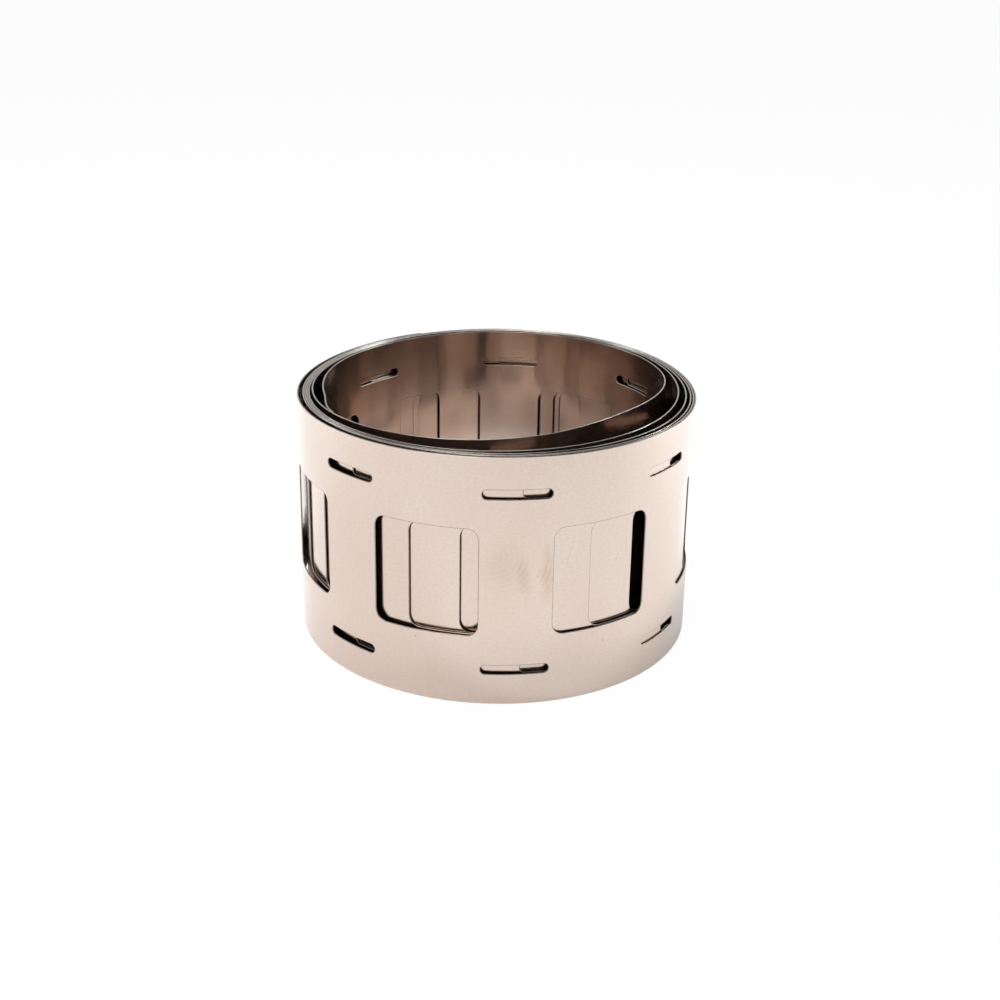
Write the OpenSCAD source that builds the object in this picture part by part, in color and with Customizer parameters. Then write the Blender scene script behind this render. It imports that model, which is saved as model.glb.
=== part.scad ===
// Coil of punched nickel strip for welding two rows of round battery cells in parallel.
// The strip stands on its edge, wound clockwise from its inner end as seen from above.
// It was punched as one long band and then cut, so its two ends lie in the middle of a window.

/* [Strip] */
// Thickness of the nickel
strip_thickness = 0.15; // [0.1:0.01:0.25]
// Width of the strip, which is the height of the coil
strip_width = 27; // [25:0.5:34]
// Distance between cell centres, along the strip and between its two rows
cell_pitch = 19.2; // [18.4:0.1:21.6]
// Length from the inner end to the first column of weld slots
inner_tail = 9.6; // [5:0.1:14]
// Length from the last column of weld slots to the outer end
outer_tail = 9.6; // [5:0.1:14]

/* [Windows] */
// Length of a window along the strip
window_length = 11.5; // [8:0.1:12.5]
// Height of a window across the strip
window_height = 11.7; // [8:0.1:14]
// Radius of a window's corners
window_corner = 1.2; // [0.5:0.1:3]

/* [Weld slots] */
// Length of a weld slot along the strip, round ends included
slot_length = 7.1; // [4:0.1:9]
// Width of a weld slot
slot_width = 1; // [0.6:0.1:1.6]

/* [Coil] */
// Turns that there is room for, which the strip fills with as many whole columns as fit
turns = 6.33; // [3:0.01:7]
// Size of the oval winding from side to side
coil_width = 44.37; // [42:0.01:60]
// Size of the oval winding from front to back
coil_depth = 51.43; // [42:0.01:60]
// How far the oval bulges at three soft corners
corner_bulge = 0.24; // [0:0.02:0.6]
// Direction of one of those corners, counter-clockwise from the right-hand side
corner_direction = -39; // [-60:1:60]
// Direction of the inner end, counter-clockwise from the right-hand side
inner_end_direction = 213; // [180:1:240]
// Clear gap between turns where they lie tight
turn_gap = 0.06; // [0.05:0.01:0.2]

/* [Looseness] */
// How far the innermost turn has worked loose from the outermost one, on the loose side
loose_depth = 5.9; // [0:0.1:8]
// Direction of the loose side, counter-clockwise from the right-hand side
loose_side = -50; // [-120:1:-40]
// How steeply the looseness grows from turn to turn inwards
loose_growth = 4; // [2:0.1:5]
// How closely it gathers about the loose side
loose_focus = 4; // [1:0.1:5]
// How far the innermost turn springs inwards from the next one
spring_depth = 2.7; // [0:0.1:5]
// Winding angle at which it stands furthest in
spring_peak = 274; // [240:1:290]
// Winding angle over which it leaves the next turn
spring_rise = 81; // [60:1:100]
// Winding angle over which it comes back
spring_fall = 132; // [110:1:160]
// How far the strip bows inwards just behind its inner end
end_bow_depth = 1; // [0:0.1:2]
// Winding angle from the inner end to the deepest point of that bow
end_bow_peak = 20; // [16:1:40]
// Winding angle over which the bow fades again
end_bow_fall = 51; // [40:1:90]
// How far the innermost turn stands off the next one at the back
back_gap_depth = 0.5; // [0:0.1:1]
// Winding angle at which it stands off most there
back_gap_peak = 125; // [110:1:140]
// Winding angle over which that gap opens
back_gap_rise = 105; // [60:1:110]
// Winding angle over which it closes again
back_gap_fall = 110; // [60:1:120]
// How far the outermost turn stands off the next one
lift_height = 0.45; // [0:0.05:1]
// Winding angle from the place where it stands off most to the outer end
lift_peak = 130; // [60:1:150]
// Winding angle over which it leaves the next turn
lift_rise = 100; // [60:1:180]
// Winding angle over which it comes back
lift_fall = 160; // [100:1:240]

/* [Hidden] */
// Sides of a round end or corner
$fn = 48;
// Step in winding angle for measuring along the strip
angle_step = 1;
// Flat facets along one pitch of the strip
facets_per_pitch = 8;
// Depth of a punch on either side of the strip, enough for the bend of the coil
punch_depth = 2.5;
// Winding angle worked out beyond each end, for the punches that overhang it
overhang_angle = 60;

half_width = coil_width / 2;
half_depth = coil_depth / 2;

// Path of the strip's middle, in polar form about the coil's centre
function direction(angle) = inner_end_direction - angle;
function turns_outside(angle) = turns - angle / 360;
function oval(heading) =
    half_width * half_depth / norm([half_width * sin(heading), half_depth * cos(heading)]);
function corners(heading) = corner_bulge * cos(3 * (heading - corner_direction));
function packed_depth(angle) = turns_outside(angle) * (strip_thickness + turn_gap);
function slack(angle) =
    let (growth = pow(max(turns_outside(angle), 0) / turns, loose_growth))
    let (focus = pow((1 + cos(direction(angle) - loose_side)) / 2, loose_focus))
    loose_depth * growth * focus;

// Depth of a smooth bow that rises to its peak and fades behind it
function bow(angle, depth, peak, rise, fall) =
    let (share = (angle - peak) / (angle < peak ? rise : fall))
    abs(share) < 1 ? depth * pow(cos(90 * share), 2) : 0;
function spring(angle) = bow(angle, spring_depth, spring_peak, spring_rise, spring_fall);
function end_bow(angle) = bow(angle, end_bow_depth, end_bow_peak, end_bow_peak, end_bow_fall);
function back_gap(angle) =
    bow(angle, back_gap_depth, back_gap_peak, back_gap_rise, back_gap_fall);
// The very end lies back against the next turn
function end_rest(angle) =
    bow(angle, slack(angle) - slack(angle + 360), 0, end_bow_peak, end_bow_peak);

// A turn that springs inwards pushes the turn inside it along
function sprung(angle) = spring(angle) + spring(angle + 360);
function inward(angle) =
    slack(angle) + sprung(angle) + back_gap(angle) + end_bow(angle) - end_rest(angle);
// The free outer end springs the other way
function lift(angle) = bow(angle, lift_height, 360 * turns - lift_peak, lift_rise, lift_fall);
function tight_radius(angle) =
    oval(direction(angle)) + corners(direction(angle)) - packed_depth(angle);
function path_radius(angle) = tight_radius(angle) - inward(angle) + lift(angle);
function raw_point(angle) =
    path_radius(angle) * [cos(direction(angle)), sin(direction(angle))];

// Length along the path against winding angle, from the overhang before the inner end
wound_steps = ceil(360 * turns / angle_step);
overhang_steps = ceil(overhang_angle / angle_step);
raw_path = [
    for (i = [-overhang_steps : wound_steps + overhang_steps]) raw_point(i * angle_step)
];
path_table = [
    for (i = 0, run = 0; i < len(raw_path) - 1; run = run + norm(raw_path[i + 1] - raw_path[i]), i = i + 1)
        [run, (i - overhang_steps) * angle_step]
];
overhang_run = path_table[overhang_steps][0];
path_length = path_table[overhang_steps + wound_steps][0] - overhang_run;

// The strip takes up whole columns of the path
columns = floor((path_length - inner_tail - outer_tail) / cell_pitch) + 1;
strip_length = inner_tail + (columns - 1) * cell_pitch + outer_tail;
function slot_run(column) = inner_tail + column * cell_pitch;
function window_run(column) = slot_run(column) + cell_pitch / 2;

// The coil is centred on its overall size in plan
strip_path = [
    for (i = [0 : len(path_table) - 1])
        if (path_table[i][0] >= overhang_run && path_table[i][0] <= overhang_run + strip_length)
            raw_path[i]
];
path_x = [for (point = strip_path) point.x];
path_y = [for (point = strip_path) point.y];
coil_centre = [min(path_x) + max(path_x), min(path_y) + max(path_y)] / 2;

// Places on the strip by their length from the inner end
function angle_at(run) = lookup(run + overhang_run, path_table);
function point_at(run) = raw_point(angle_at(run)) - coil_centre;
function outward_at(run) =
    let (angle = angle_at(run))
    let (chord = raw_point(angle + angle_step) - raw_point(angle - angle_step))
    [-chord.y, chord.x] / norm(chord);
function face_point(run, side) = point_at(run) + side * strip_thickness / 2 * outward_at(run);

// A stretch of bent strip with nothing punched out
module plain_length(start, end) {
    facets = ceil(facets_per_pitch * (end - start) / cell_pitch);
    runs = [for (i = [0 : facets]) i == facets ? end : start + (end - start) * i / facets];
    outer_face = [for (i = [0 : facets]) face_point(runs[i], 1)];
    inner_face = [for (i = [facets : -1 : 0]) face_point(runs[i], -1)];
    linear_extrude(height = strip_width)
        polygon(concat(outer_face, inner_face));
}

// Outline with round corners, centred
module rounded_outline(size, corner) {
    square([size.x, size.y - 2 * corner], center = true);
    square([size.x - 2 * corner, size.y], center = true);
    for (x = [-1, 1], y = [-1, 1])
        translate([x * (size.x / 2 - corner), y * (size.y / 2 - corner)])
            circle(r = corner);
}

// Outline with round ends, centred
module slot_outline(size) {
    square([size.x - size.y, size.y], center = true);
    for (x = [-1, 1])
        translate([x * (size.x - size.y) / 2, 0])
            circle(d = size.y);
}

// Punch through the strip at a place along it, facing along the strip's normal
module punch(run, height) {
    outward = outward_at(run);
    translate([point_at(run).x, point_at(run).y, height])
        rotate([0, 0, atan2(outward.y, outward.x)])
            rotate([90, 0, 90])
                linear_extrude(height = 2 * punch_depth, center = true)
                    children();
}

// Straight distance across the bend between two places on the strip
function bent_length(run, length) = norm(point_at(run + length / 2) - point_at(run - length / 2));

module window_punch(column) {
    run = window_run(column);
    punch(run, strip_width / 2)
        rounded_outline([bent_length(run, window_length), window_height], window_corner);
}

module slot_punches(column) {
    run = slot_run(column);
    for (row = [-1, 1])
        punch(run, strip_width / 2 + row * cell_pitch / 2)
            slot_outline([bent_length(run, slot_length), slot_width]);
}

// One column of the strip, which meets its neighbours at the middle of the windows
module punched_column(column) {
    start = column == 0 ? 0 : window_run(column - 1);
    end = column == columns - 1 ? strip_length : window_run(column);
    difference() {
        plain_length(start, end);
        slot_punches(column);
        window_punch(column - 1);
        window_punch(column);
    }
}

module nickel_strip() {
    color("tan")
        for (column = [0 : columns - 1])
            punched_column(column);
}

nickel_strip();
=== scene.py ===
"""Coil of punched nickel strip, standing on its edge on a white table."""

import math

import bmesh
import bpy
from mathutils import Matrix, Vector


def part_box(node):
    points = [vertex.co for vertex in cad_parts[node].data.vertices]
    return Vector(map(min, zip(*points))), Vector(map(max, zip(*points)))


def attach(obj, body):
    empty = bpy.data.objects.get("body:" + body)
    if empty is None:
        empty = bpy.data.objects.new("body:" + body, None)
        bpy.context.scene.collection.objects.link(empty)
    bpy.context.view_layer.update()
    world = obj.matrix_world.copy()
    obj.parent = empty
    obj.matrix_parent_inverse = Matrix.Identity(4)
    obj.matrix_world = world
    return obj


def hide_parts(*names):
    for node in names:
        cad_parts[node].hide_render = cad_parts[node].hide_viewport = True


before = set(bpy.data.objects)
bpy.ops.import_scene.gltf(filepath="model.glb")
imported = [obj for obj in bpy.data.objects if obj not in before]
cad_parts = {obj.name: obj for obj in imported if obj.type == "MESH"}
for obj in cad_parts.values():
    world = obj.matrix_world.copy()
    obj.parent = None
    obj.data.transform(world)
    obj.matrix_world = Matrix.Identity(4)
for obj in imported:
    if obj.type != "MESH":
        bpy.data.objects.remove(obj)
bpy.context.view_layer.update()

# Units: the strip is modelled in millimetres and turned into metres once it is wound
METRES_PER_MM = 0.001

# Sizes of the strip, in millimetres
STRIP_THICKNESS = 0.15
STRIP_WIDTH = 27.0
CELL_PITCH = 19.2
COLUMNS = 47
WINDOW_LENGTH = 11.5
WINDOW_HEIGHT = 11.7
WINDOW_CORNER = 1.2
SLOT_LENGTH = 7.1
SLOT_WIDTH = 1.0
# Just under half a slot's width, so that the two corners at its end stay apart
SLOT_CORNER = 0.499
# Rounding of the edges of the holes, and of the two long sides
HOLE_ROUNDING = 0.07
SLIT_ROUNDING = 0.02
# Depth of a punch, well past both faces of the strip
PUNCH_DEPTH = 1.5

# Winding of the coil, in millimetres and degrees
TURNS = 6.33
COIL_WIDTH = 44.37
COIL_DEPTH = 51.43
CORNER_BULGE = 0.24
CORNER_DIRECTION = -39.0
INNER_END_DIRECTION = 213.0
TURN_GAP = 0.06
LOOSE_DEPTH = 5.9
LOOSE_SIDE = -50.0
LOOSE_GROWTH = 4.0
LOOSE_FOCUS = 4.0
SPRING_DEPTH = 2.7
SPRING_PEAK = 274.0
SPRING_RISE = 81.0
SPRING_FALL = 132.0
END_BOW_DEPTH = 1.0
END_BOW_PEAK = 20.0
END_BOW_FALL = 51.0
BACK_GAP_DEPTH = 0.5
BACK_GAP_PEAK = 125.0
BACK_GAP_RISE = 105.0
BACK_GAP_FALL = 110.0
LIFT_HEIGHT = 0.45
LIFT_PEAK = 130.0
LIFT_RISE = 100.0
LIFT_FALL = 160.0

# Fineness of the mesh
BENDS_PER_COLUMN = 18
CORNER_SEGMENTS = 5
ROUNDING_SEGMENTS = 2
PATH_STEP = 1.0

# Tolerances: millimetres between like places, share of square on, and least angle of a sharp edge
SAME_PLACE = 0.001
SQUARE_ON = 0.999
SHARP_ANGLE = math.radians(60)

# Camera, fitted to the photograph
CAMERA_DISTANCE = 0.17441
CAMERA_ELEVATION = math.radians(20.428)
CAMERA_ROLL = math.radians(0.888)
CAMERA_SENSOR = 36.0
FOCAL_PIXELS = 1493.7
IMAGE_PIXELS = 1000.0
SHIFT_RIGHT_PIXELS = 1.82
SHIFT_UP_PIXELS = -4.58
COIL_AXIS = Vector((0.000348, -0.000034, 0.0135))

# Patterns in the metal, in cycles per metre along, through and across the flat strip
ROLLED_GRAIN_SCALE = (2500, 0, 4500)
CUT_GRAIN_SCALE = (5000, 0, 5000)
CLOUD_SCALE = (100, 0, 100)
WAVE_SCALE = (160, 0, 15)
WAVE_HEIGHT = 0.00003
# Range of the noise in which most of it lies
NOISE_LOW = 0.3
NOISE_HIGH = 0.7
# Specks: cells per metre, reach in cells, core as a share of it, and random value above which a cell has one
SPECK_CELLS = 110
SPECK_REACH = 0.012
SPECK_CORE = 0.4
SPECK_RARITY = 0.55

# Marks on the flat strip in metres: centre along and across it, half sizes, tilt and strength
THUMB_CENTRE = (0.8375, 0.0165)
THUMB_SPOTS = (
    ((0.8350, 0.0150), (0.0011, 0.0034), 0.15, 1.0),
    ((0.8368, 0.0158), (0.0032, 0.0044), 0.0, 0.55),
    ((0.8324, 0.0148), (0.0011, 0.0044), 0.0, 1.0),
)
SCRATCH = ((0.6803, 0.0158), (0.00009, 0.0024), -0.25, 0.5)
# The thumb mark's outline is jittered by noise, in cells per metre and metres, and its ridges are rings
THUMB_JITTER_CELLS = 900
THUMB_JITTER_REACH = 0.0008
THUMB_RIDGES = 600
THUMB_RIDGE_BEND = 2
THUMB_RIDGE_FAINTEST = 0.55

# Colours of the metal, and its roughness from smooth to rough
ROLLED_LIGHT = (0.70, 0.578, 0.506)
ROLLED_WARM = (0.68, 0.552, 0.475)
ROLLED_GRAIN = (0.45, 0.37, 0.32)
ROLLED_GRAIN_SHARE = 0.24
ROLLED_ROUGHNESS = (0.13, 0.19)
THUMB_BROWN = (0.57, 0.425, 0.33)
SCRATCH_GREY = (0.48, 0.39, 0.34)
SPECK_DARK = (0.36, 0.29, 0.25)
BRIGHT_EDGE_COLOURS = ((0.64, 0.57, 0.51), (0.52, 0.46, 0.41))
BRIGHT_EDGE_ROUGHNESS = (0.2, 0.3)
# The dull edge is rougher cut metal. Its dark colours are painted shade: outlines round the holes and a
# painted contact shadow along the lower edge.
PAINTED_SHADE_EDGE_COLOURS = ((0.36, 0.29, 0.25), (0.26, 0.21, 0.18))
DULL_EDGE_ROUGHNESS = (0.32, 0.45)

# Table: its size in metres, its paint, and the share of it that the camera sees as plain white
TABLE_SIZE = 8
TABLE_PAINT = (0.9, 0.9, 0.9, 1)
TABLE_ROUGHNESS = 0.9
TABLE_GLOW_SHARE = 0.96

# Backdrop in the metal's reflections: heights on the unit sphere where it starts and ends to darken
BACKDROP_FADE_START = 0.25
BACKDROP_FADE_END = 0.6
BACKDROP_DARK = 0.03

# Light: soft boxes by name, place in metres, power in watts, size in metres and colour
AMBIENT_LIGHT = 0.42
SOFT_BOXES = (
    ("key_box", (-0.14, -0.14, 0.55), 2.1, 0.25, (1, 1, 1)),
    ("back_box", (-0.03, 0.2, 0.52), 0.85, 0.25, (1, 1, 1)),
    ("left_box", (-0.16, 0.06, 0.1), 0.08, 0.06, (0.8, 0.93, 1)),
    ("right_box", (0.16, 0.06, 0.1), 0.16, 0.06, (0.8, 0.93, 1)),
)


def deselect_all():
    for thing in bpy.context.selected_objects:
        thing.select_set(False)


def only(thing):
    """Makes one object the selected and active one."""
    deselect_all()
    thing.select_set(True)
    bpy.context.view_layer.objects.active = thing


def apply_modifier(thing, modifier):
    only(thing)
    bpy.ops.object.modifier_apply(modifier=modifier.name)


def apply_place(thing):
    only(thing)
    bpy.ops.object.transform_apply(location=True, rotation=True, scale=True)


def block(centre, size):
    """A box of that size about a centre, with its place in its mesh."""
    deselect_all()
    bpy.ops.mesh.primitive_cube_add(size=1, location=centre, scale=size)
    made = bpy.context.object
    apply_place(made)
    return made


def select_edges(thing, wanted):
    """In edit mode, selects the edges for which wanted(edge) is true."""
    bpy.ops.mesh.select_mode(type="EDGE")
    bpy.ops.mesh.select_all(action="DESELECT")
    mesh = bmesh.from_edit_mesh(thing.data)
    for edge in mesh.edges:
        edge.select_set(wanted(edge))
    bmesh.update_edit_mesh(thing.data)


def select_faces(thing, wanted):
    """In edit mode, selects the faces for which wanted(face) is true."""
    bpy.ops.mesh.select_mode(type="FACE")
    bpy.ops.mesh.select_all(action="DESELECT")
    mesh = bmesh.from_edit_mesh(thing.data)
    for face in mesh.faces:
        face.select_set(wanted(face))
    bmesh.update_edit_mesh(thing.data)


# The strip laid out flat: X runs along it from the inner end, Y through it and Z across it


def runs_through(edge):
    """True for an edge that runs straight through the strip's thickness."""
    along = edge.verts[1].co - edge.verts[0].co
    return abs(along.y) > SQUARE_ON * along.length


def punch(column, centre, size, corner):
    """Cuts a hole with round corners through the flat strip."""
    cutter = block((centre[0], 0, centre[1]), (size[0], PUNCH_DEPTH, size[1]))
    only(cutter)
    bpy.ops.object.mode_set(mode="EDIT")
    select_edges(cutter, runs_through)
    bpy.ops.mesh.bevel(offset=corner, segments=CORNER_SEGMENTS, affect="EDGES")
    bpy.ops.object.mode_set(mode="OBJECT")
    cut = column.modifiers.new("punch", "BOOLEAN")
    cut.operation = "DIFFERENCE"
    cut.solver = "EXACT"
    cut.object = cutter
    apply_modifier(column, cut)
    bpy.data.objects.remove(cutter)


def is_column_end(face):
    """True for a face where this column meets the next one."""
    run = face.verts[0].co.x
    return abs(face.normal.x) > SQUARE_ON and min(run, CELL_PITCH - run) < SAME_PLACE


def is_slit_edge(edge):
    """True for an edge along one of the strip's two sides."""
    from_sides = [min(vert.co.z, STRIP_WIDTH - vert.co.z) for vert in edge.verts]
    return max(from_sides) < SAME_PLACE and not any(is_column_end(face) for face in edge.link_faces)


def is_punched_edge(edge):
    """True for an edge of a hole, and not for one where two columns meet."""
    if is_slit_edge(edge) or any(is_column_end(face) for face in edge.link_faces):
        return False
    return edge.calc_face_angle() > SHARP_ANGLE


def is_rolled(face):
    """True for a part of the strip's two broad faces."""
    return abs(face.normal.y) > SQUARE_ON


def is_bright_edge(face):
    """True for a part of the strip's upper edge, burnished by slitting."""
    return not is_rolled(face) and STRIP_WIDTH - face.calc_center_median().z < STRIP_THICKNESS


def is_dull_shaded_edge(face):
    """True for a part of the rim of a hole, or of the lower edge that the coil stands on. Its dark colour is
    painted shade there: dark outlines round the holes and a painted contact shadow along the lower edge.
    """
    return not is_rolled(face) and not is_bright_edge(face)


def bounds_a_broad_face(edge):
    """True for an edge where a broad face gives way to the rounding of a cut."""
    return len({is_rolled(face) for face in edge.link_faces}) == 2


def flat_column(materials):
    """One column of the strip, from the middle of one window to the middle of the next."""
    middle = STRIP_WIDTH / 2
    column = block((CELL_PITCH / 2, 0, middle), (CELL_PITCH, STRIP_THICKNESS, STRIP_WIDTH))
    for x in (0, CELL_PITCH):
        punch(column, (x, middle), (WINDOW_LENGTH, WINDOW_HEIGHT), WINDOW_CORNER)
    for row in (-1, 1):
        place = (CELL_PITCH / 2, middle + row * CELL_PITCH / 2)
        punch(column, place, (SLOT_LENGTH, SLOT_WIDTH), SLOT_CORNER)
    only(column)
    bpy.ops.object.mode_set(mode="EDIT")
    for wanted, rounding in ((is_punched_edge, HOLE_ROUNDING), (is_slit_edge, SLIT_ROUNDING)):
        select_edges(column, wanted)
        bpy.ops.mesh.bevel(offset=rounding, segments=ROUNDING_SEGMENTS, affect="EDGES")
    select_faces(column, is_column_end)
    bpy.ops.mesh.delete(type="FACE")
    select_edges(column, bounds_a_broad_face)
    bpy.ops.mesh.mark_sharp()
    parts = (is_rolled, is_bright_edge, is_dull_shaded_edge)
    for index, (material, wanted) in enumerate(zip(materials, parts)):
        column.data.materials.append(material)
        column.active_material_index = index
        select_faces(column, wanted)
        bpy.ops.object.material_slot_assign()
    bpy.ops.mesh.select_all(action="SELECT")
    bpy.ops.mesh.quads_convert_to_tris()
    for bend in range(1, BENDS_PER_COLUMN):
        place = (bend * CELL_PITCH / BENDS_PER_COLUMN, 0, 0)
        bpy.ops.mesh.select_all(action="SELECT")
        bpy.ops.mesh.bisect(plane_co=place, plane_no=(1, 0, 0), threshold=0.1 * SAME_PLACE)
    bpy.ops.object.mode_set(mode="OBJECT")
    return column


def close_ends(strip):
    """Fills the cut across each of the four prongs at the strip's two ends."""
    only(strip)
    bpy.ops.object.mode_set(mode="EDIT")
    bpy.ops.mesh.select_mode(type="EDGE")
    bpy.ops.mesh.select_all(action="DESELECT")
    bpy.ops.mesh.select_non_manifold(
        use_wire=False, use_multi_face=False, use_non_contiguous=False, use_verts=False
    )
    bpy.ops.mesh.mark_sharp()
    bpy.ops.mesh.fill_holes(sides=0)
    bpy.ops.mesh.select_all(action="SELECT")
    bpy.ops.mesh.normals_make_consistent(inside=False)
    bpy.ops.object.mode_set(mode="OBJECT")


def keep_flat_places(strip):
    """Keeps each point's place on the flat strip, in metres, for the patterns that follow the strip."""
    places = strip.data.attributes.new("strip_place", "FLOAT_VECTOR", "POINT")
    for vert, place in zip(strip.data.vertices, places.data):
        place.vector = vert.co * METRES_PER_MM


def flat_strip(materials):
    """The whole strip before it is wound, column after column."""
    strip = flat_column(materials)
    strip.name = "wound_strip"
    repeat = strip.modifiers.new("columns", "ARRAY")
    repeat.count = COLUMNS
    repeat.use_relative_offset = False
    repeat.use_constant_offset = True
    repeat.constant_offset_displace = (CELL_PITCH, 0, 0)
    repeat.use_merge_vertices = True
    repeat.merge_threshold = SAME_PLACE
    apply_modifier(strip, repeat)
    close_ends(strip)
    keep_flat_places(strip)
    return strip


# The winding, as winding angle in degrees from the strip's inner end


def heading(angle):
    return math.radians(INNER_END_DIRECTION - angle)


def oval(angle):
    across = COIL_WIDTH / 2
    along = COIL_DEPTH / 2
    return across * along / math.hypot(across * math.sin(heading(angle)), along * math.cos(heading(angle)))


def corners(angle):
    return CORNER_BULGE * math.cos(3 * (heading(angle) - math.radians(CORNER_DIRECTION)))


def turns_outside(angle):
    return TURNS - angle / 360


def slack(angle):
    """How far the strip has worked loose there."""
    growth = (max(turns_outside(angle), 0) / TURNS) ** LOOSE_GROWTH
    focus = ((1 + math.cos(heading(angle) - math.radians(LOOSE_SIDE))) / 2) ** LOOSE_FOCUS
    return LOOSE_DEPTH * growth * focus


def bow(angle, depth, peak, rise, fall):
    """Depth of a smooth bow that rises to its peak and fades behind it."""
    share = (angle - peak) / (rise if angle < peak else fall)
    return depth * math.cos(math.pi / 2 * share) ** 2 if abs(share) < 1 else 0


def spring(angle):
    return bow(angle, SPRING_DEPTH, SPRING_PEAK, SPRING_RISE, SPRING_FALL)


def inward(angle):
    """Depth inside a tight winding. A turn that springs inwards pushes the one inside it along."""
    back_gap = bow(angle, BACK_GAP_DEPTH, BACK_GAP_PEAK, BACK_GAP_RISE, BACK_GAP_FALL)
    end_bow = bow(angle, END_BOW_DEPTH, END_BOW_PEAK, END_BOW_PEAK, END_BOW_FALL)
    end_rest = bow(angle, slack(angle) - slack(angle + 360), 0, END_BOW_PEAK, END_BOW_PEAK)
    return slack(angle) + spring(angle) + spring(angle + 360) + back_gap + end_bow - end_rest


def lift(angle):
    """How far the outermost turn stands off the next one."""
    return bow(angle, LIFT_HEIGHT, 360 * TURNS - LIFT_PEAK, LIFT_RISE, LIFT_FALL)


def winding_point(angle):
    packed = turns_outside(angle) * (STRIP_THICKNESS + TURN_GAP)
    radius = oval(angle) + corners(angle) - packed - inward(angle) + lift(angle)
    return Vector((radius * math.cos(heading(angle)), radius * math.sin(heading(angle)), 0))


def winding_path():
    """The line that the strip is wound along, as a curve."""
    steps = math.ceil(360 * TURNS / PATH_STEP)
    data = bpy.data.curves.new("winding", "CURVE")
    data.dimensions = "3D"
    data.twist_mode = "Z_UP"
    line = data.splines.new("POLY")
    line.points.add(steps)
    for step, point in enumerate(line.points):
        point.co = (*winding_point(step * PATH_STEP), 1)
    path = bpy.data.objects.new("winding", data)
    bpy.context.scene.collection.objects.link(path)
    return path


def middle_of(low, high):
    return (Vector(low) + Vector(high)) / 2


def wound_strip(materials):
    """The strip wound into its coil, in metres, where the solid stands."""
    strip = flat_strip(materials)
    path = winding_path()
    wind = strip.modifiers.new("wind", "CURVE")
    wind.object = path
    wind.deform_axis = "POS_X"
    apply_modifier(strip, wind)
    bpy.data.objects.remove(path)
    strip.scale = (METRES_PER_MM,) * 3
    apply_place(strip)
    strip.location = middle_of(*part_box("nickel_strip")) - middle_of(strip.bound_box[0], strip.bound_box[6])
    apply_place(strip)
    bpy.ops.object.shade_smooth()
    return strip


# Materials


def add_node(nodes, kind, inputs=None, **settings):
    """Adds a node with its settings and the values of its free inputs."""
    node = nodes.new(kind)
    for name, value in settings.items():
        setattr(node, name, value)
    for name, value in (inputs or {}).items():
        node.inputs[name].default_value = value
    return node


def new_material(name):
    material = bpy.data.materials.new(name)
    material.use_nodes = True
    material.node_tree.nodes.clear()
    return material, material.node_tree.nodes, material.node_tree.links


def rolled_grain():
    """Group of the patterns that rolling leaves in the metal, laid out along the flat strip."""
    group = bpy.data.node_groups.new("rolled_grain", "ShaderNodeTree")
    group.interface.new_socket("Place", in_out="INPUT", socket_type="NodeSocketVector")
    group.interface.new_socket("Grain Scale", in_out="INPUT", socket_type="NodeSocketVector")
    for name in ("Grain", "Clouds", "Waves"):
        group.interface.new_socket(name, in_out="OUTPUT", socket_type="NodeSocketFloat")
    nodes, links = group.nodes, group.links
    entry = nodes.new("NodeGroupInput")
    leave = nodes.new("NodeGroupOutput")
    fixed_scales = {"Clouds": CLOUD_SCALE, "Waves": WAVE_SCALE}
    for name in ("Grain", "Clouds", "Waves"):
        stretch = add_node(nodes, "ShaderNodeVectorMath", operation="MULTIPLY")
        noise = add_node(nodes, "ShaderNodeTexNoise", {"Scale": 1, "Detail": 2})
        links.new(entry.outputs["Place"], stretch.inputs[0])
        if name in fixed_scales:
            stretch.inputs[1].default_value = fixed_scales[name]
        else:
            links.new(entry.outputs["Grain Scale"], stretch.inputs[1])
        links.new(stretch.outputs["Vector"], noise.inputs["Vector"])
        links.new(noise.outputs["Fac"], leave.inputs[name])
    return group


def grain_node(nodes, links, group, grain_scale):
    """Puts the rolled grain into a material, at the strip's own places."""
    place = add_node(nodes, "ShaderNodeAttribute", attribute_name="strip_place")
    grain = add_node(nodes, "ShaderNodeGroup", node_tree=group)
    grain.inputs["Grain Scale"].default_value = grain_scale
    links.new(place.outputs["Vector"], grain.inputs["Place"])
    return place, grain


def between(nodes, links, share, low, high):
    """A value that goes from low to high as the share goes over the noise's middle range."""
    spread = add_node(
        nodes, "ShaderNodeMapRange",
        {"From Min": NOISE_LOW, "From Max": NOISE_HIGH, "To Min": low, "To Max": high}
    )
    links.new(share, spread.inputs["Value"])
    return spread.outputs["Result"]


def coloured(nodes, links, share, base, colour):
    """Mixes a colour over a base, which is a colour or the output of an earlier mix."""
    mix = add_node(nodes, "ShaderNodeMixRGB", {"Color2": (*colour, 1)})
    links.new(share, mix.inputs["Fac"])
    if isinstance(base, tuple):
        mix.inputs["Color1"].default_value = (*base, 1)
    else:
        links.new(base, mix.inputs["Color1"])
    return mix.outputs["Color"]


def soft_spot(nodes, links, place, centre, size, tilt, strength):
    """A soft oval mask about a place on the flat strip, given in metres."""
    local = add_node(nodes, "ShaderNodeMapping", vector_type="TEXTURE")
    local.inputs["Location"].default_value = (centre[0], 0, centre[1])
    local.inputs["Rotation"].default_value = (0, tilt, 0)
    local.inputs["Scale"].default_value = (size[0], 1, size[1])
    reach = add_node(nodes, "ShaderNodeVectorMath", operation="LENGTH")
    fade = add_node(
        nodes, "ShaderNodeMapRange", {"To Min": strength, "To Max": 0}, interpolation_type="SMOOTHSTEP"
    )
    links.new(place, local.inputs["Vector"])
    links.new(local.outputs["Vector"], reach.inputs[0])
    links.new(reach.outputs["Value"], fade.inputs["Value"])
    return fade.outputs["Result"]


def combined(nodes, links, operation, first, second):
    node = add_node(nodes, "ShaderNodeMath", operation=operation)
    links.new(first, node.inputs[0])
    links.new(second, node.inputs[1])
    return node.outputs["Value"]


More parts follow.
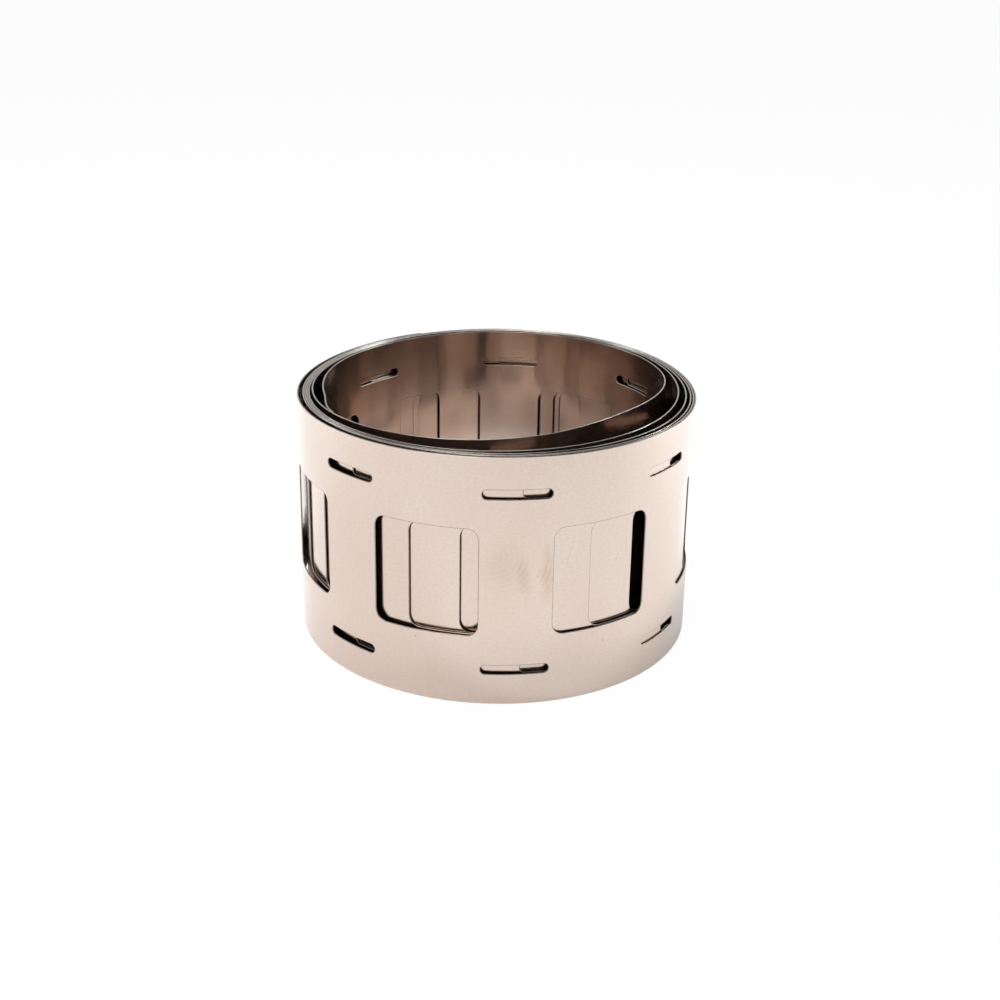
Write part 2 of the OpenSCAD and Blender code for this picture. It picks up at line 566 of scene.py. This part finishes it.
def thumb_mark(nodes, links, place):
    """Mask of the brownish thumb mark on the front of the outermost turn, with its ridges."""
    wobble = add_node(nodes, "ShaderNodeTexNoise", {"Scale": THUMB_JITTER_CELLS, "Detail": 1})
    jitter = add_node(nodes, "ShaderNodeVectorMath", {"Scale": THUMB_JITTER_REACH}, operation="SCALE")
    moved = add_node(nodes, "ShaderNodeVectorMath", operation="ADD")
    links.new(place, wobble.inputs["Vector"])
    links.new(wobble.outputs["Color"], jitter.inputs[0])
    links.new(place, moved.inputs[0])
    links.new(jitter.outputs["Vector"], moved.inputs[1])
    spots = [soft_spot(nodes, links, moved.outputs["Vector"], *spot) for spot in THUMB_SPOTS]
    mark = spots[0]
    for spot in spots[1:]:
        mark = combined(nodes, links, "MAXIMUM", mark, spot)
    shifted = add_node(nodes, "ShaderNodeVectorMath", operation="SUBTRACT")
    shifted.inputs[1].default_value = (THUMB_CENTRE[0], 0, THUMB_CENTRE[1])
    links.new(place, shifted.inputs[0])
    ridges = add_node(
        nodes, "ShaderNodeTexWave", {"Scale": THUMB_RIDGES, "Distortion": THUMB_RIDGE_BEND},
        wave_type="RINGS", rings_direction="Y"
    )
    links.new(shifted.outputs["Vector"], ridges.inputs["Vector"])
    depth = add_node(nodes, "ShaderNodeMapRange", {"To Min": THUMB_RIDGE_FAINTEST, "To Max": 1})
    links.new(ridges.outputs["Fac"], depth.inputs["Value"])
    return combined(nodes, links, "MULTIPLY", mark, depth.outputs["Result"])


def specks(nodes, links, place):
    """Mask of small dark specks, far apart and only in some of the cells."""
    flat = add_node(nodes, "ShaderNodeMapping", {"Rotation": (-math.pi / 2, 0, 0)})
    cells = add_node(nodes, "ShaderNodeTexVoronoi", {"Scale": SPECK_CELLS}, voronoi_dimensions="2D")
    near = add_node(
        nodes, "ShaderNodeMapRange",
        {"From Min": SPECK_CORE * SPECK_REACH, "From Max": SPECK_REACH, "To Min": 1, "To Max": 0}
    )
    chosen = add_node(nodes, "ShaderNodeMath", {1: SPECK_RARITY}, operation="GREATER_THAN")
    links.new(place, flat.inputs["Vector"])
    links.new(flat.outputs["Vector"], cells.inputs["Vector"])
    links.new(cells.outputs["Distance"], near.inputs["Value"])
    links.new(cells.outputs["Color"], chosen.inputs[0])
    return combined(nodes, links, "MULTIPLY", near.outputs["Result"], chosen.outputs["Value"])


def nickel_shader(nodes, links, colour, roughness):
    shader = add_node(nodes, "ShaderNodeBsdfPrincipled", {"Metallic": 1})
    output = nodes.new("ShaderNodeOutputMaterial")
    links.new(colour, shader.inputs["Base Color"])
    links.new(roughness, shader.inputs["Roughness"])
    links.new(shader.outputs["BSDF"], output.inputs["Surface"])
    return shader


def rolled_nickel(group):
    """The strip's two broad faces: satin rolled metal, handled a little."""
    material, nodes, links = new_material("rolled_nickel")
    place, grain = grain_node(nodes, links, group, ROLLED_GRAIN_SCALE)
    vector = place.outputs["Vector"]
    clouds = between(nodes, links, grain.outputs["Clouds"], 0, 1)
    colour = coloured(nodes, links, clouds, ROLLED_LIGHT, ROLLED_WARM)
    fine = between(nodes, links, grain.outputs["Grain"], 0, ROLLED_GRAIN_SHARE)
    colour = coloured(nodes, links, fine, colour, ROLLED_GRAIN)
    colour = coloured(nodes, links, thumb_mark(nodes, links, vector), colour, THUMB_BROWN)
    scratch = soft_spot(nodes, links, vector, *SCRATCH)
    colour = coloured(nodes, links, scratch, colour, SCRATCH_GREY)
    colour = coloured(nodes, links, specks(nodes, links, vector), colour, SPECK_DARK)
    roughness = between(nodes, links, grain.outputs["Grain"], *ROLLED_ROUGHNESS)
    shader = nickel_shader(nodes, links, colour, roughness)
    swell = add_node(nodes, "ShaderNodeBump", {"Strength": 1, "Distance": WAVE_HEIGHT})
    links.new(grain.outputs["Waves"], swell.inputs["Height"])
    links.new(swell.outputs["Normal"], shader.inputs["Normal"])
    return material


def cut_nickel(name, group, colours, roughness):
    """An edge left by slitting or punching, streaked through its thickness."""
    material, nodes, links = new_material(name)
    grain = grain_node(nodes, links, group, CUT_GRAIN_SCALE)[1]
    streaks = between(nodes, links, grain.outputs["Grain"], 0, 1)
    colour = coloured(nodes, links, streaks, *colours)
    nickel_shader(nodes, links, colour, between(nodes, links, grain.outputs["Clouds"], *roughness))
    return material


# Table, light and camera


def white_table():
    deselect_all()
    bpy.ops.mesh.primitive_plane_add(size=TABLE_SIZE)
    table = bpy.context.object
    table.name = "white_table"
    material, nodes, links = new_material("white_table")
    paint = add_node(
        nodes, "ShaderNodeBsdfPrincipled", {"Base Color": TABLE_PAINT, "Roughness": TABLE_ROUGHNESS}
    )
    glow = add_node(nodes, "ShaderNodeEmission", {"Strength": 1})
    rays = nodes.new("ShaderNodeLightPath")
    share = add_node(nodes, "ShaderNodeMath", {1: TABLE_GLOW_SHARE}, operation="MULTIPLY")
    mix = nodes.new("ShaderNodeMixShader")
    output = nodes.new("ShaderNodeOutputMaterial")
    links.new(rays.outputs["Is Camera Ray"], share.inputs[0])
    links.new(share.outputs["Value"], mix.inputs["Fac"])
    links.new(paint.outputs["BSDF"], mix.inputs[1])
    links.new(glow.outputs["Emission"], mix.inputs[2])
    links.new(mix.outputs["Shader"], output.inputs["Surface"])
    table.data.materials.append(material)


def soft_box(name, place, power, size, colour):
    lamp = bpy.data.lights.new(name, "AREA")
    lamp.energy = power
    lamp.size = size
    lamp.color = colour
    thing = bpy.data.objects.new(name, lamp)
    thing.visible_camera = False
    thing.location = place
    thing.rotation_euler = (COIL_AXIS - Vector(place)).to_track_quat("-Z", "Y").to_euler()
    bpy.context.scene.collection.objects.link(thing)


def studio():
    """Even light all round, a backdrop that mirrors white near the table and dark above, and soft boxes."""
    world = bpy.data.worlds.new("studio")
    bpy.context.scene.world = world
    world.use_nodes = True
    nodes, links = world.node_tree.nodes, world.node_tree.links
    nodes.clear()
    ambient = add_node(nodes, "ShaderNodeBackground", {"Strength": AMBIENT_LIGHT})
    backdrop = nodes.new("ShaderNodeBackground")
    place = nodes.new("ShaderNodeTexCoord")
    split = nodes.new("ShaderNodeSeparateXYZ")
    fade_range = {
        "From Min": BACKDROP_FADE_START, "From Max": BACKDROP_FADE_END, "To Min": 1, "To Max": BACKDROP_DARK
    }
    fade = add_node(nodes, "ShaderNodeMapRange", fade_range)
    rays = nodes.new("ShaderNodeLightPath")
    mix = nodes.new("ShaderNodeMixShader")
    output = nodes.new("ShaderNodeOutputWorld")
    links.new(place.outputs["Generated"], split.inputs["Vector"])
    links.new(split.outputs["Z"], fade.inputs["Value"])
    camera_ray = rays.outputs["Is Camera Ray"]
    strength = combined(nodes, links, "MAXIMUM", fade.outputs["Result"], camera_ray)
    links.new(strength, backdrop.inputs["Strength"])
    seen = combined(nodes, links, "MAXIMUM", camera_ray, rays.outputs["Is Glossy Ray"])
    links.new(seen, mix.inputs["Fac"])
    links.new(ambient.outputs["Background"], mix.inputs[1])
    links.new(backdrop.outputs["Background"], mix.inputs[2])
    links.new(mix.outputs["Shader"], output.inputs["Surface"])
    for box in SOFT_BOXES:
        soft_box(*box)


def camera():
    data = bpy.data.cameras.new("camera")
    data.sensor_width = CAMERA_SENSOR
    data.lens = FOCAL_PIXELS / IMAGE_PIXELS * CAMERA_SENSOR
    data.shift_x = SHIFT_RIGHT_PIXELS / IMAGE_PIXELS
    data.shift_y = SHIFT_UP_PIXELS / IMAGE_PIXELS
    data.clip_start = 0.001
    thing = bpy.data.objects.new("camera", data)
    back = Vector((0, -math.cos(CAMERA_ELEVATION), math.sin(CAMERA_ELEVATION)))
    aim = (-back).to_track_quat("-Z", "Y").to_matrix().to_4x4()
    place = Matrix.Translation(COIL_AXIS + CAMERA_DISTANCE * back)
    thing.matrix_world = place @ aim @ Matrix.Rotation(CAMERA_ROLL, 4, "Z")
    bpy.context.scene.collection.objects.link(thing)
    bpy.context.scene.camera = thing


camera()
white_table()
studio()
bpy.context.scene.view_settings.view_transform = "Standard"
grain_group = rolled_grain()
bright_edge = cut_nickel("bright_edge", grain_group, BRIGHT_EDGE_COLOURS, BRIGHT_EDGE_ROUGHNESS)
# Rougher cut edge. Its dark colour is painted shade round the holes and a painted contact shadow on the
# lower edge.
dull_shaded_edge = cut_nickel("dull_shaded_edge", grain_group, PAINTED_SHADE_EDGE_COLOURS, DULL_EDGE_ROUGHNESS)
strip = wound_strip((rolled_nickel(grain_group), bright_edge, dull_shaded_edge))
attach(strip, "root")
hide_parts("nickel_strip")
